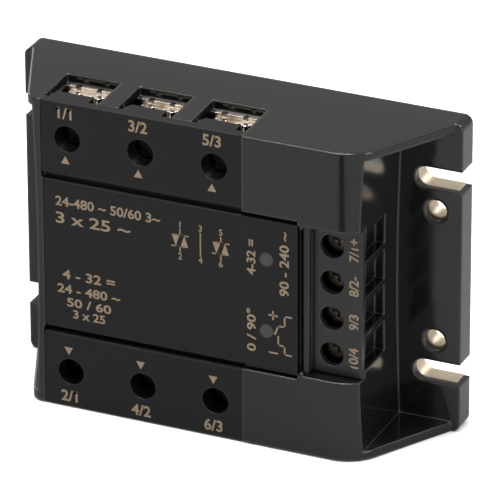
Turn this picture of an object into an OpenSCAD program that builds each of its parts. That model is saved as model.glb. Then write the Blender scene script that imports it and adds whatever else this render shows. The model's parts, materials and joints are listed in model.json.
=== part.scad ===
// Three-phase solid state relay for a panel or heat sink, with clamp terminals under flip covers.
// X runs along the body towards the control terminals, Y runs back to the heat sink, Z is up.
// The origin is the middle of the base plate's back face.

/* [Overall] */
// Length over both mounting flanges
flange_len = 110; // [106:1:140]
// Height of the housing and the flanges
body_h = 77.5; // [74:0.5:96]
// Depth from the base plate's back to the front face
body_d = 31; // [30:0.5:40]

/* [Mounting flanges] */
// Thickness of a flange, base plate included
flange_t = 6.5; // [6:0.5:8]
// Corner radius of the flange outline
flange_r = 2; // [1:0.5:4]
// Width of the left flange, outer end to end wall
left_flange_w = 13.5; // [13:0.5:16]
// Width of the right flange, outer end to end wall
right_flange_w = 15; // [14:0.5:17]
// Distance between the upper and lower slots
slot_pitch = 49; // [46:0.5:54]
// Width of a slot, for an M5 screw
slot_w = 5.5; // [4.5:0.1:6.5]
// Outer end of the flange to the centre of the slot's round end
slot_reach = 8.8; // [7:0.1:9.5]
// Outer end of the flange to the centre of a round hole
hole_inset = 6.4; // [5:0.1:8]
// Distance between the upper and lower round holes
hole_pitch = 33; // [28:0.5:35]
// Diameter of a round hole
hole_d = 5.5; // [4.5:0.1:6]
// Diameter of the same hole in the aluminium plate
plate_hole_d = 4.6; // [4:0.1:5.2]

/* [Base plate] */
// Thickness of the aluminium plate
plate_t = 4.5; // [3.5:0.5:5]
// Width of the plastic skirt round the plate
skirt_w = 1.5; // [1.2:0.1:2.5]
// How far the plate stands proud of the skirt
plate_proud = 0.3; // [0.2:0.1:0.6]
// Gap between the plate and the skirt
plate_gap = 0.1; // [0.05:0.05:0.3]

/* [Housing] */
// Wall thickness
wall = 2; // [1.6:0.1:2.4]
// Thickness of the top and bottom webs
web_t = 2; // [1.6:0.1:2.6]
// Outer end of the left flange to the sharp front corner
left_corner_inset = 12.5; // [12:0.5:15]
// Outer end of the right flange to the sharp front corner
right_corner_inset = 15.8; // [15:0.2:18]
// Front corner radius on the left
left_corner_r = 4; // [2:0.5:5]
// Front corner radius on the right
right_corner_r = 10; // [6:1:12]
// How far the end walls bow inwards at mid height
end_bow = 0.9; // [0.3:0.1:1.5]
// Depth of the front edge of each web where it meets the flange corner
web_corner_w = 2; // [1:0.5:3]
// How much higher the top and bottom faces are at the flange than at the front
draft = 0.4; // [0.2:0.1:0.8]

/* [Front covers and panels] */
// How far the covers and panels sit behind the housing's front edge
front_drop = 0.1; // [0.05:0.05:0.3]
// Height of a power terminal cover
cover_h = 18.75; // [18:0.25:20]
// Thickness of a power terminal cover
cover_t = 2.5; // [2:0.1:3]
// Groove between a cover and the middle panel
groove_w = 1; // [0.8:0.1:1.4]
// Thickness of the middle panel
panel_t = 2; // [1.6:0.1:2.4]
// Hairline gap between neighbouring covers, panels and housing
seam = 0.15; // [0.1:0.05:0.25]
// Housing rim left of the covers, measured from the sharp corner
left_rim_w = 3.1; // [2.2:0.1:4]
// Length of the tab that reaches into a wire window
tab_len = 9.5; // [8:0.5:11]
// Depth of the tab behind the cover
tab_d = 3.2; // [2.4:0.2:3.6]
// Radius of the cover hinge pins
hinge_pin_r = 0.8; // [0.6:0.1:0.9]
// Length of a hinge pin
hinge_pin_len = 1.1; // [0.8:0.1:1.4]
// Radial clearance of the hinge pins
hinge_gap = 0.05; // [0.03:0.01:0.09]

/* [Power terminals] */
// Distance between neighbouring phases
phase_pitch = 18.4; // [17.6:0.2:19.2]
// Outer face of the web to the screw axis
row_inset = 8.95; // [8.5:0.05:9.5]
// Diameter of the screwdriver hole in a cover
access_d = 6.6; // [5:0.2:8]
// Width of a wire window
window_w = 13.6; // [12:0.2:14.4]
// Depth of a wire window behind the cover
window_d = 12.5; // [10:0.5:12.5]
// Front face to the terminal seat
seat_depth = 13.5; // [13:0.5:14.5]
// Thickness of the terminal block behind the seat
block_t = 5.5; // [5:0.5:6]
// Busbar thickness
bar_t = 1.2; // [0.8:0.1:1.5]
// Busbar width at the terminal
bar_w = 10.4; // [9:0.2:11]
// Width of a clamp plate
clamp_w = 9.6; // [8:0.2:10.4]
// Thickness of a clamp plate
clamp_t = 1.2; // [0.8:0.1:1.5]
// Radius of the screw shank
screw_r = 2.45; // [2:0.05:2.5]
// Radius of the screw head
head_r = 4; // [3.5:0.1:4.4]
// Height of the screw head
head_h = 3.2; // [2.6:0.1:3.6]
// Length of the shank
shank_len = 9; // [8:0.5:10]
// Side of the square nut
nut_w = 8; // [7:0.2:8.4]
// Thickness of the square nut
nut_t = 4; // [3.2:0.2:4.4]

/* [Control terminals] */
// Distance between neighbouring control terminals
control_pitch = 9.1; // [8.6:0.1:9.2]
// End wall to the screw axis
control_inset = 8.1; // [7.6:0.1:8.6]
// Diameter of the screwdriver hole in the cover
control_access_d = 5.9; // [4:0.1:6.4]
// Front face to the control cover's front face
control_cover_drop = 3.5; // [3:0.1:4]
// Thickness of the control cover
control_cover_t = 1.5; // [1.2:0.1:2]
// Front face to the floor of the wire entries
entry_depth = 17.1; // [16.6:0.1:17.6]
// Thickness of that floor
entry_floor_t = 2; // [1.6:0.2:2.4]
// Front face to the control terminal seat
control_seat_depth = 11.5; // [11:0.1:12]
// Thickness of the ribs between the wire entries
rib_t = 1.5; // [1.2:0.1:1.8]
// Thickness of a control terminal plate
control_plate_t = 0.8; // [0.6:0.1:1]
// Length of a control terminal plate
control_plate_len = 9.6; // [8.6:0.2:9.8]
// Width of a control terminal plate
control_plate_w = 6.6; // [6:0.1:7]
// Thickness of a control clamp plate
control_clamp_t = 0.8; // [0.6:0.1:1]
// Radius of the control screw shank
control_screw_r = 1.7; // [1.4:0.05:1.8]
// Radius of the control screw head
control_head_r = 2.9; // [2.6:0.1:3.1]
// Height of the control screw head
control_head_h = 2.2; // [1.8:0.1:2.4]

/* [Inside] */
// Height of the circuit board
board_h = 38; // [34:1:38]
// Thickness of the circuit board
board_t = 1.6; // [1.2:0.2:2]
// Front of the base plate to the back of the circuit board
board_gap = 3.9; // [3.6:0.1:4.2]
// Thickness of a ceramic substrate with its copper
substrate_t = 0.8; // [0.6:0.1:1]
// Length of a ceramic substrate
substrate_len = 36; // [34:1:38]
// Width of a ceramic substrate
substrate_w = 12; // [11:0.5:12.5]

/* [Indicators] */
// Height of the upper indicator above the middle
upper_led_z = 8.9; // [8:0.1:11]
// Height of the lower indicator below the middle
lower_led_z = 9.2; // [8:0.1:11]
// Radius of an indicator lens
lens_r = 1.7; // [1.4:0.1:2]
// Control hinge axis to the indicator axis
lens_inset = 9.2; // [8.6:0.1:9.6]

/* [Hidden] */
$fn = 64;
eps = 0.01;
far = 200;
half_len = flange_len / 2;
half_h = body_h / 2;
flange_h = body_h + 2 * draft;
left_end = -(half_len - left_flange_w);
right_end = half_len - right_flange_w;
in_left = left_end + end_bow + wall - 0.3;
in_right = right_end - end_bow - wall + 0.1;
in_h = half_h - web_t;
skin_y = -plate_t;
cover_left = -(half_len - left_corner_inset - left_rim_w);
phase_x = [for (i = [0:2]) cover_left + window_w / 2 + phase_pitch * i];
cover_right = phase_x[2] + window_w / 2 - 0.1;
cover_foot = half_h - cover_h;
panel_half = cover_foot - groove_w;
row_z = half_h - row_inset;
seat_y = -(body_d - seat_depth);
front_y = -(body_d - front_drop);
cover_back = -(body_d - cover_t);
cover_r = (cover_back - front_y) / 2;
window_back = cover_back + window_d;
wall_front = -(body_d - panel_t);
hinge_y = front_y + cover_r;
hinge_z = cover_foot + cover_r;
// Control hinge: an upright pin in the gap left of the control cover.
control_x = right_end - control_inset;
knuckle_r = 0.95;
control_pin_r = 0.6;
control_hinge_x = control_x - 5.6;
control_hinge_y = -(body_d - 2.1);
recess_left = control_hinge_x - 1.4;
panel_right = recess_left - seam;
indicator_left = cover_right + seam;
control_cover_right = right_end - 0.6;
control_face_y = -(body_d - control_cover_drop);
control_back_y = control_face_y + control_cover_t;
rib_front = control_back_y + 0.5;
entry_y = -(body_d - entry_depth);
control_seat_y = -(body_d - control_seat_depth);
control_z = [for (i = [0:3]) (1.5 - i) * control_pitch];
control_cover_half = panel_half - 0.4;
entry_w = control_pitch - rib_t;
rib_z = [for (i = [-1:1]) i * control_pitch];
floor_back = entry_y + entry_floor_t;
control_leg_x = control_x - control_plate_len / 2;
lens_x = control_hinge_x - lens_inset;
led_z = [upper_led_z, -lower_led_z];
board_back = skin_y - board_gap;
board_front = board_back - board_t;
board_left = in_left + 0.6;
board_right = in_right - 0.6;
pillar_r = 2.4;
pillar_at = [for (x = [board_left + 3.2, recess_left - 4], z = [-1, 1]) [x, z * (board_h / 2 - 3.2)]];
boss_r = 3.2;
boss_at = [for (x = [(phase_x[0] + phase_x[1]) / 2, cover_right + 6], z = [-1, 1]) [x, z * (row_z + 2.6)]];
bar_foot_z = row_z - 6.6;
substrate_x = [phase_x[0], phase_x[2]];
substrate_y = skin_y - substrate_t;
chip_t = 0.4;
gate_pin_at = [for (x = substrate_x, dx = [-4, 4], z = [-1.6, 1.6]) [x + dx, z]];
thermal_x = lens_x - 4;

// ---- shared shapes ----

module box(x, y, z) {
    translate([x[0], y[0], z[0]]) cube([x[1] - x[0], y[1] - y[0], z[1] - z[0]]);
}

// A round bar along Y, between two depths.
module rod_y(x, z, r, y) {
    translate([x, y[1], z]) rotate([90, 0, 0]) cylinder(r = r, h = y[1] - y[0]);
}

// A flat outline drawn in X and Z, as thick as the two depths say.
module plate_y(y) {
    translate([0, y[1], 0]) rotate([90, 0, 0]) linear_extrude(y[1] - y[0]) children();
}

// A profile drawn in Y and Z, drawn out along X.
module profile_x(x) {
    translate([x[0], 0, 0]) rotate([90, 0, 90]) linear_extrude(x[1] - x[0]) children();
}

module both_rows() {
    children();
    mirror([0, 0, 1]) children();
}

module rounded_rect(w, h, r) {
    difference() {
        square([w, h], center = true);
        for (sx = [-1, 1], sy = [-1, 1])
            translate([sx * (w / 2 - r), sy * (h / 2 - r)]) difference() {
                translate([sx > 0 ? 0 : -far, sy > 0 ? 0 : -far]) square(far);
                circle(r);
            }
    }
}

// ---- housing ----

// The waste left when the corner between two straight sides is rounded. The sides leave the
// corner along the X axis, towards side, and along the slope to the point at the flange.
module corner_waste(corner, foot, side, r) {
    slope = atan2(abs(foot[1] - corner[1]), abs(foot[0] - corner[0]));
    reach = r * tan(slope / 2);
    centre = [corner[0] + side * reach, corner[1] + r];
    touch = [corner[0] - side * reach * cos(slope), corner[1] + reach * sin(slope)];
    past = (r + 1) / r;
    difference() {
        polygon([for (p = [centre, [centre[0], corner[1]], corner, touch]) centre + past * (p - centre)]);
        translate(centre) circle(r, $fn = 128);
    }
}

// The housing seen from above: a trapezium with a sharper left front corner.
module plan_outline() {
    left_foot = [-(half_len - web_corner_w), -flange_t];
    right_foot = [half_len - web_corner_w, -flange_t];
    left_corner = [-(half_len - left_corner_inset), -body_d];
    right_corner = [half_len - right_corner_inset, -body_d];
    difference() {
        polygon([left_foot, left_corner, right_corner, right_foot,
            [right_foot[0], -plate_proud], [left_foot[0], -plate_proud]]);
        corner_waste(left_corner, left_foot, 1, left_corner_r);
        corner_waste(right_corner, right_foot, -1, right_corner_r);
    }
}

// The top and bottom faces slope apart slightly from the front back to the flange.
module envelope() {
    plate_y([-flange_t, -plate_proud]) rounded_rect(flange_len, flange_h, flange_r);
    intersection() {
        translate([0, 0, -flange_h / 2]) linear_extrude(flange_h) plan_outline();
        profile_x([-half_len, half_len])
            polygon([[-body_d, -half_h], [-flange_t, -flange_h / 2], [0, -flange_h / 2],
                [0, flange_h / 2], [-flange_t, flange_h / 2], [-body_d, half_h]]);
    }
}

// The open pocket at one end. Its inner wall is a shallow arc that bows towards the middle.
module end_pocket(end_x) {
    bow_r = (in_h * in_h + end_bow * end_bow) / (2 * end_bow);
    side = sign(end_x);
    intersection() {
        box(side > 0 ? [end_x - wall, far] : [-far, end_x + wall], [-far, -flange_t], [-in_h, in_h]);
        translate([end_x + side * (bow_r - end_bow), 0, 0]) rotate([90, 0, 0])
            cylinder(r = bow_r, h = far, $fn = 720);
    }
}

module slot_cut(y) {
    for (side = [-1, 1], z = [-1, 1]) {
        root_x = half_len - slot_reach;
        root_z = z * slot_pitch / 2;
        rod_y(side * root_x, root_z, slot_w / 2, y);
        box(side > 0 ? [root_x, far] : [-far, -root_x], y, [root_z - slot_w / 2, root_z + slot_w / 2]);
    }
}

module round_holes(y, d) {
    for (side = [-1, 1], z = [-1, 1])
        rod_y(side * (half_len - hole_inset), z * hole_pitch / 2, d / 2, y);
}

// Rooms for one row of power terminals: open at the front, and through the web as wire windows.
module power_rooms() {
    for (i = [0:2]) {
        room_left = max(phase_x[i] - phase_pitch / 2 + 1, in_left);
        room_right = min(phase_x[i] + phase_pitch / 2 - 1, cover_right - 0.4);
        box([room_left, room_right], [-far, seat_y], [cover_foot + 1.6, in_h]);
        box([phase_x[i] - window_w / 2, phase_x[i] + window_w / 2], [-far, window_back], [in_h - eps, far]);
        nut_side = (nut_w + 0.2) / 2;
        box([phase_x[i] - nut_side, phase_x[i] + nut_side], [seat_y - eps, seat_y + nut_t + 0.1],
            [row_z - nut_side, row_z + nut_side]);
        rod_y(phase_x[i], row_z, screw_r + 0.4, [seat_y, -plate_t]);
        box([phase_x[i] - bar_w / 2 - 0.2, phase_x[i] + bar_w / 2 + 0.2], [seat_y - 3, seat_y + block_t + 1],
            [bar_foot_z - 0.2, bar_foot_z + bar_t + 0.3]);
    }
}

// Seat for the row's cover, with a socket for each hinge pin.
module cover_seat() {
    box([cover_left, indicator_left], [-far, cover_back + 0.1], [cover_foot, far]);
    translate([cover_left - hinge_pin_len - 0.1, hinge_y, hinge_z]) rotate([0, 90, 0])
        cylinder(r = hinge_pin_r + hinge_gap, h = cover_right - cover_left + 2 * hinge_pin_len + 0.3);
    translate([cover_left, hinge_y, hinge_z]) rotate([0, 90, 0])
        cylinder(r = cover_r + 0.25, h = indicator_left - cover_left);
}

module control_entries() {
    for (z = control_z) box([recess_left, far], [-far, entry_y], [z - entry_w / 2, z + entry_w / 2]);
    box([recess_left, far], [-far, rib_front], [-panel_half, panel_half]);
}

module control_pads() {
    for (z = control_z) difference() {
        box([control_leg_x - 0.4, control_leg_x + control_plate_len], [control_seat_y, entry_y + eps],
            [z - entry_w / 2 - eps, z + entry_w / 2 + eps]);
        rod_y(control_x, z, control_screw_r + 1.2, [control_seat_y - 1, far]);
    }
}

module housing() {
    color([0.07, 0.07, 0.075]) difference() {
        union() {
            difference() {
                envelope();
                end_pocket(left_end);
                end_pocket(right_end);
                // main cavity, open at the back
                box([in_left, in_right], [wall_front + wall, 0], [-in_h, in_h]);
                // right-hand room reaches further forward
                both_rows() box([cover_right + wall, in_right - 0.6],
                    [-(body_d - wall), 0], [cover_foot + wall, in_h]);
            }
            // terminal blocks across the cavity
            both_rows() difference() {
                box([in_left - eps, cover_right + wall],
                    [wall_front, seat_y + block_t], [cover_foot, in_h + eps]);
                box([in_left - 1, cover_right], [seat_y + block_t - 1, 0], [0, cover_foot + 1]);
            }
            // walls and floor round the control terminals
            box([recess_left - wall, recess_left + eps], [wall_front, floor_back], [-cover_foot, cover_foot]);
            box([recess_left - wall, in_right + eps],
                [control_seat_y, floor_back], [-cover_foot, cover_foot]);
            both_rows() box([recess_left - wall, in_right + eps],
                [wall_front, floor_back], [panel_half, cover_foot + wall]);
            // ribs run from the recess wall out through the end wall
            for (z = rib_z) box([recess_left, right_end - end_bow - eps],
                [rib_front, entry_y + eps], [z - rib_t / 2, z + rib_t / 2]);
            for (p = pillar_at) rod_y(p[0], p[1], pillar_r, [wall_front + eps, board_front]);
            for (b = boss_at) rod_y(b[0], b[1], boss_r,
                [b[0] > cover_right ? -(body_d - wall) - eps : seat_y + block_t - eps, skin_y]);
        }
        both_rows() {
            power_rooms();
            cover_seat();
            // groove between the cover and the middle panel
            box([cover_left, recess_left], [-far, wall_front], [panel_half, cover_foot + eps]);
        }
        // seat for the middle panel
        box([cover_left + 0.4, recess_left], [-far, wall_front], [-cover_foot, cover_foot]);
        difference() {
            control_entries();
            control_pads();
        }
        both_rows() {
            translate([control_hinge_x, control_hinge_y, panel_half - eps])
                cylinder(r = control_pin_r + hinge_gap, h = hinge_pin_len + 0.2);
            for (z = [control_z[0], control_z[1]])
                box([control_leg_x - 0.1, control_leg_x + 0.9], [control_seat_y - 1, 0], [z - 0.9, z + 0.9]);
        }
        for (p = pillar_at) rod_y(p[0], p[1], 1, [board_front - 8, board_front + 1]);
        for (b = boss_at) rod_y(b[0], b[1], 1.35, [skin_y - 9, skin_y + 1]);
        for (z = led_z) rod_y(lens_x, z, 1.9, [-far, wall_front + wall + 1]);
        // recess for the base plate
        skirt_in = 2 * (skirt_w - plate_gap);
        plate_y([-plate_t, 1]) rounded_rect(flange_len - skirt_in, flange_h - skirt_in, flange_r / 2);
        slot_cut([-far, 1]);
        round_holes([-flange_t - 1, 1], hole_d);
    }
    // small stops at both ends of the control hinge gap
    color([0.07, 0.07, 0.075]) both_rows()
        box([recess_left + 0.5, recess_left + 1.2],
            [-(body_d - 0.1), -(body_d - 0.9)], [panel_half - 0.8, panel_half + eps]);
}

// ---- base plate ----

// Countersunk M3 screw, head towards the back.
module countersunk(head_r, shank_r, depth) {
    rotate([90, 0, 0]) rotate_extrude()
        polygon([[0, 0], [head_r, 0], [head_r, 0.2], [shank_r, head_r - shank_r + 0.2],
            [shank_r, depth], [0, depth]]);
}

module base_plate() {
    color([0.78, 0.79, 0.8]) difference() {
        plate_y([-plate_t, 0]) rounded_rect(flange_len - 2 * skirt_w, flange_h - 2 * skirt_w, flange_r / 2);
        slot_cut([-far, 1]);
        round_holes([-far, 1], plate_hole_d);
        for (b = boss_at) translate([b[0], eps, b[1]]) countersunk(3.25, 1.65, far);
    }
}

module base_plate_screws() {
    color([0.7, 0.7, 0.72]) for (b = boss_at)
        translate([b[0], -0.1, b[1]]) countersunk(3, 1.3, plate_t + 7);
}

// ---- front panels and indicators ----

// Panel section in Y and Z, with its two front edges rounded.
module panel_profile(half, t, r) {
    difference() {
        translate([front_y, -half]) square([t, 2 * half]);
        for (side = [-1, 1]) difference() {
            translate([front_y - r, side > 0 ? half - r : -half - r]) square(2 * r);
            translate([front_y + r, side * (half - r)]) circle(r);
        }
    }
}

module front_panel() {
    color([0.11, 0.11, 0.12]) profile_x([cover_left + 0.4 + seam, cover_right])
        panel_profile(panel_half, panel_t - front_drop, 0.9);
}

module indicator_panel() {
    color([0.11, 0.11, 0.12]) difference() {
        profile_x([indicator_left, panel_right]) panel_profile(panel_half, panel_t - front_drop, 0.9);
        for (z = led_z) rod_y(lens_x, z, lens_r + 0.05, [-far, 0]);
    }
}

module indicator_lens(z) {
    color([0.45, 0.46, 0.47]) rod_y(lens_x, z, lens_r, [front_y + 0.1, wall_front + 0.2]);
}

module indicator_led(z, tint) {
    tip_y = wall_front + 0.4;
    color(tint) {
        rod_y(lens_x, z, 1.45, [tip_y, tip_y + 4.6]);
        rod_y(lens_x, z, 1.75, [tip_y + 4, tip_y + 5]);
        for (side = [-1, 1]) rod_y(lens_x + side * 0.9, z, 0.3, [tip_y + 5 - eps, board_back + 0.8]);
    }
}

// ---- power terminal covers ----

// The cover turns about its foot, which is a round bar with a pin at each end.
module power_cover() {
    color([0.11, 0.11, 0.12]) difference() {
        union() {
            profile_x([cover_left + seam, cover_right]) {
                translate([front_y, hinge_z]) square([2 * cover_r, half_h - hinge_z]);
                translate([hinge_y, hinge_z]) circle(cover_r);
            }
            translate([cover_left - hinge_pin_len, hinge_y, hinge_z]) rotate([0, 90, 0])
                cylinder(r = hinge_pin_r, h = cover_right - cover_left + 2 * hinge_pin_len);
            for (x = phase_x) {
                rod_y(x, row_z, access_d / 2 + 1, [cover_back - eps, cover_back + 1.8]);
                tab_left = x - window_w / 2 + 1.5;
                translate([0, 0, half_h - 1.6]) linear_extrude(1.6) polygon([
                    [tab_left, cover_back - eps], [tab_left + tab_len, cover_back - eps],
                    [tab_left + tab_len, cover_back + tab_d], [tab_left + 1, cover_back + tab_d],
                    [tab_left, cover_back + tab_d - 1.6]]);
            }
        }
        for (x = phase_x) rod_y(x, row_z, access_d / 2, [-far, 0]);
    }
}

// ---- power terminals ----

// Flat terminal end with a screw hole and three teeth, and a leg back through the terminal block.
module terminal_end(x, leg_y) {
    difference() {
        box([x - bar_w / 2, x + bar_w / 2], [seat_y - bar_t, seat_y], [bar_foot_z, row_z + 6.7]);
        rod_y(x, row_z, screw_r + 0.15, [-far, 0]);
    }
    for (tooth = [[-0.5, -0.35], [-0.2, 0.18], [0.3, 0.5]])
        box([x + tooth[0] * bar_w, x + tooth[1] * bar_w], [seat_y - bar_t, seat_y],
            [row_z + 6.7 - eps, in_h + web_t * 0.3]);
    box([x - bar_w / 2, x + bar_w / 2], [seat_y - eps, leg_y], [bar_foot_z, bar_foot_z + bar_t]);
}

// Busbar from a terminal to its ceramic substrate.
module phase_busbar(x) {
    color([0.8, 0.66, 0.42]) {
        terminal_end(x, substrate_y);
        box([x - 4, x + 4], [substrate_y - bar_t, substrate_y], [substrate_len / 2 - 4, bar_foot_z + eps]);
    }
}

// The middle phase isn't switched: one bar joins its two terminals.
module through_busbar(x) {
    bridge_y = skin_y - 1.5;
    color([0.8, 0.66, 0.42]) {
        both_rows() terminal_end(x, bridge_y);
        box([x - 4, x + 4], [bridge_y - bar_t, bridge_y], [-bar_foot_z - eps, bar_foot_z + eps]);
    }
}

module power_nuts() {
    color([0.75, 0.75, 0.74]) both_rows() for (x = phase_x) difference() {
        box([x - nut_w / 2, x + nut_w / 2], [seat_y + 0.05, seat_y + 0.05 + nut_t],
            [row_z - nut_w / 2, row_z + nut_w / 2]);
        rod_y(x, row_z, screw_r + 0.05, [-far, 0]);
    }
}

// Square clamp plate. Three rounded ridges at its outer edge grip the wire.
module power_clamp(x) {
    front = seat_y - bar_t - clamp_t;
    ridge_pitch = clamp_w * 0.31;
    color([0.82, 0.76, 0.6]) difference() {
        union() {
            box([x - clamp_w / 2, x + clamp_w / 2], [front, seat_y - bar_t - 0.02], [row_z - 5, row_z + 6.5]);
            for (i = [-1:1]) translate([x + i * ridge_pitch, front, row_z + 4.1])
                cylinder(r = min(ridge_pitch * 0.42, clamp_t * 0.9), h = 2.4);
        }
        rod_y(x, row_z, screw_r + 0.08, [-far, 0]);
    }
}

// Pan-head screw with a cross recess, head to the front.
module pan_screw(x, z, head_back, head, shank) {
    difference() {
        union() {
            rod_y(x, z, head[0], [head_back - head[1], head_back]);
            rod_y(x, z, shank[0], [head_back - eps, head_back + shank[1]]);
        }
        for (turn = [0, 90]) translate([x, 0, z]) rotate([0, turn, 0])
            box([-head[0] * 0.62, head[0] * 0.62], [head_back - head[1] - 1, head_back - head[1] / 2],
                [-head[0] * 0.13, head[0] * 0.13]);
    }
}

module power_screw(x) {
    color([0.83, 0.83, 0.8])
        pan_screw(x, row_z, seat_y - bar_t - clamp_t - 0.02, [head_r, head_h], [screw_r, shank_len]);
}

// ---- control terminals ----

// Cover over the control screws, hinged on the upright bar at its left edge.
module control_cover() {
    half = control_cover_half;
    color([0.11, 0.11, 0.12]) difference() {
        union() {
            box([control_hinge_x + 0.3, control_cover_right],
                [control_face_y, control_back_y], [-half, half]);
            box([control_hinge_x - 0.8, control_hinge_x + 0.65],
                [control_hinge_y, control_back_y], [-half, half]);
            translate([control_hinge_x, control_hinge_y, -half]) cylinder(r = knuckle_r, h = 2 * half);
            pin_half = panel_half + hinge_pin_len;
            translate([control_hinge_x, control_hinge_y, -pin_half])
                cylinder(r = control_pin_r, h = 2 * pin_half);
        }
        for (z = control_z) rod_y(control_x, z, control_access_d / 2, [-far, 0]);
    }
}

module control_terminal_plates() {
    color([0.82, 0.76, 0.6]) for (z = control_z) difference() {
        union() {
            box([control_leg_x, control_leg_x + control_plate_len],
                [control_seat_y - control_plate_t, control_seat_y],
                [z - control_plate_w / 2, z + control_plate_w / 2]);
            rod_y(control_x, z, control_screw_r + 1, [control_seat_y - eps, control_seat_y + 2.2]);
            box([control_leg_x, control_leg_x + 0.8],
                [control_seat_y - eps, board_back + 0.8], [z - 0.8, z + 0.8]);
        }
        rod_y(control_x, z, control_screw_r + 0.05, [-far, 0]);
    }
}

module control_clamp(z) {
    back = control_seat_y - control_plate_t - 0.02;
    color([0.82, 0.76, 0.6]) difference() {
        union() {
            box([control_x - 4.2, control_x + 4.8], [back - control_clamp_t, back], [z - 3.2, z + 3.2]);
            box([control_x + 4, control_x + 4.8], [back - control_clamp_t - 1.2, back], [z - 3.2, z + 3.2]);
        }
        rod_y(control_x, z, control_screw_r + 0.08, [-far, 0]);
    }
}

module control_screw(z) {
    color([0.83, 0.83, 0.8])
        pan_screw(control_x, z, control_seat_y - control_plate_t - control_clamp_t - 0.04,
            [control_head_r, control_head_h], [control_screw_r, 5.6]);
}

// ---- circuit board and the parts on it ----

module control_board() {
    color([0.1, 0.35, 0.18]) difference() {
        box([board_left, board_right], [board_front, board_back], [-board_h / 2, board_h / 2]);
        for (p = pillar_at) rod_y(p[0], p[1], 1.1, [-far, 0]);
        for (p = gate_pin_at) rod_y(p[0], p[1], 0.4, [-far, 0]);
        for (z = led_z, side = [-1, 1]) rod_y(lens_x + side * 0.9, z, 0.35, [-far, 0]);
        for (z = control_z)
            box([control_leg_x - 0.1, control_leg_x + 0.9], [-far, 0], [z - 0.9, z + 0.9]);
        for (z = [-1, 1]) rod_y(thermal_x, z * 2.5, 0.4, [-far, 0]);
    }
}

module board_screws() {
    color([0.7, 0.7, 0.72]) for (p = pillar_at) difference() {
        union() {
            rod_y(p[0], p[1], 1.9, [board_back + 0.02, board_back + 1.3]);
            rod_y(p[0], p[1], 0.95, [board_front - 6, board_back + 0.1]);
        }
        box([p[0] - 1.4, p[0] + 1.4], [board_back + 0.8, 0], [p[1] - 0.25, p[1] + 0.25]);
    }
}

module ceramic_substrates() {
    color([0.9, 0.9, 0.86]) for (x = substrate_x)
        box([x - substrate_w / 2, x + substrate_w / 2],
            [skin_y - substrate_t, skin_y], [-substrate_len / 2, substrate_len / 2]);
}

module thyristor_chips() {
    color([0.35, 0.36, 0.4]) for (x = substrate_x, z = [-1, 1])
        box([x - 4, x + 4], [substrate_y - chip_t, substrate_y], [z * 8 - 4, z * 8 + 4]);
}

module gate_pins() {
    color([0.85, 0.72, 0.4]) for (p = gate_pin_at)
        rod_y(p[0], p[1], 0.35, [board_front - 0.8, substrate_y]);
}

// A box-shaped component standing on the front of the board.
module block_part(x, z, size) {
    box([x - size[0] / 2, x + size[0] / 2],
        [board_front - size[1], board_front], [z - size[2] / 2, z + size[2] / 2]);
}

module optocouplers() {
    color([0.14, 0.14, 0.15]) {
        for (z = [-1, 1]) block_part(substrate_x[1] + 4, z * 13, [6.4, 3.4, 8.6]);
        block_part(lens_x, 0, [6.4, 3.4, 8.6]);
    }
}

module snubber_capacitors() {
    color([0.85, 0.6, 0.15]) for (z = [-1, 1])
        block_part(substrate_x[0] + 2.6, z * 8.5, [12, 11, 7]);
}

module snubber_resistors() {
    color([0.55, 0.7, 0.75]) for (z = [-1, 1]) {
        body_x = substrate_x[0] + 9;
        body_y = board_front - 2.6;
        translate([body_x - 5, body_y, z * 15.8]) rotate([0, 90, 0]) cylinder(r = 2, h = 10);
        translate([body_x - 7, body_y, z * 15.8]) rotate([0, 90, 0]) cylinder(r = 0.35, h = 14);
        for (side = [-1, 1]) rod_y(body_x + side * 6.6, z * 15.8, 0.45, [body_y - 0.5, board_front]);
    }
}

module varistors() {
    color([0.15, 0.3, 0.65]) for (i = [-1, 0, 1]) {
        disc_x = phase_x[1] + i * 6.4 + 1.2;
        translate([disc_x - 2.1, board_front - 8, 0]) rotate([0, 90, 0]) cylinder(r = 7, h = 4.2);
        for (z = [-3.5, 3.5]) rod_y(disc_x, z, 0.4, [board_front - 4, board_front]);
    }
}

module bridge_rectifier() {
    color([0.14, 0.14, 0.15]) block_part(phase_x[1] + 8.4, 14, [8, 3, 8]);
}

module smoothing_capacitor() {
    color([0.15, 0.2, 0.45]) rod_y(phase_x[1] + 8.4, -13.5, 4, [board_front - 11, board_front]);
}

module current_regulator() {
    color([0.14, 0.14, 0.15]) block_part(lens_x - 2.4, 16.5, [4.8, 7, 3]);
}

module thermal_switch() {
    color([0.8, 0.78, 0.7]) {
        box([thermal_x - 1, thermal_x + 7], [skin_y - 3, skin_y], [-4, 4]);
        for (z = [-1, 1]) rod_y(thermal_x, z * 2.5, 0.35, [board_front - 0.6, skin_y - 3 + eps]);
    }
}

housing();
base_plate();
base_plate_screws();
front_panel();
indicator_panel();
indicator_lens(led_z[0]);  // input_lens
indicator_lens(led_z[1]);  // alarm_lens
indicator_led(led_z[0], [0.3, 0.7, 0.3]);  // input_led
indicator_led(led_z[1], [0.75, 0.25, 0.2]);  // alarm_led
power_cover();  // line_terminal_cover
mirror([0, 0, 1]) power_cover();  // load_terminal_cover
control_cover();  // control_terminal_cover
phase_busbar(phase_x[0]);  // line_busbar_1
phase_busbar(phase_x[2]);  // line_busbar_3
mirror([0, 0, 1]) phase_busbar(phase_x[0]);  // load_busbar_1
mirror([0, 0, 1]) phase_busbar(phase_x[2]);  // load_busbar_3
through_busbar(phase_x[1]);  // through_busbar_2
power_nuts();
power_clamp(phase_x[0]);  // line_clamp_1
power_clamp(phase_x[1]);  // line_clamp_2
power_clamp(phase_x[2]);  // line_clamp_3
mirror([0, 0, 1]) power_clamp(phase_x[0]);  // load_clamp_1
mirror([0, 0, 1]) power_clamp(phase_x[1]);  // load_clamp_2
mirror([0, 0, 1]) power_clamp(phase_x[2]);  // load_clamp_3
power_screw(phase_x[0]);  // line_screw_1
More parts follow.
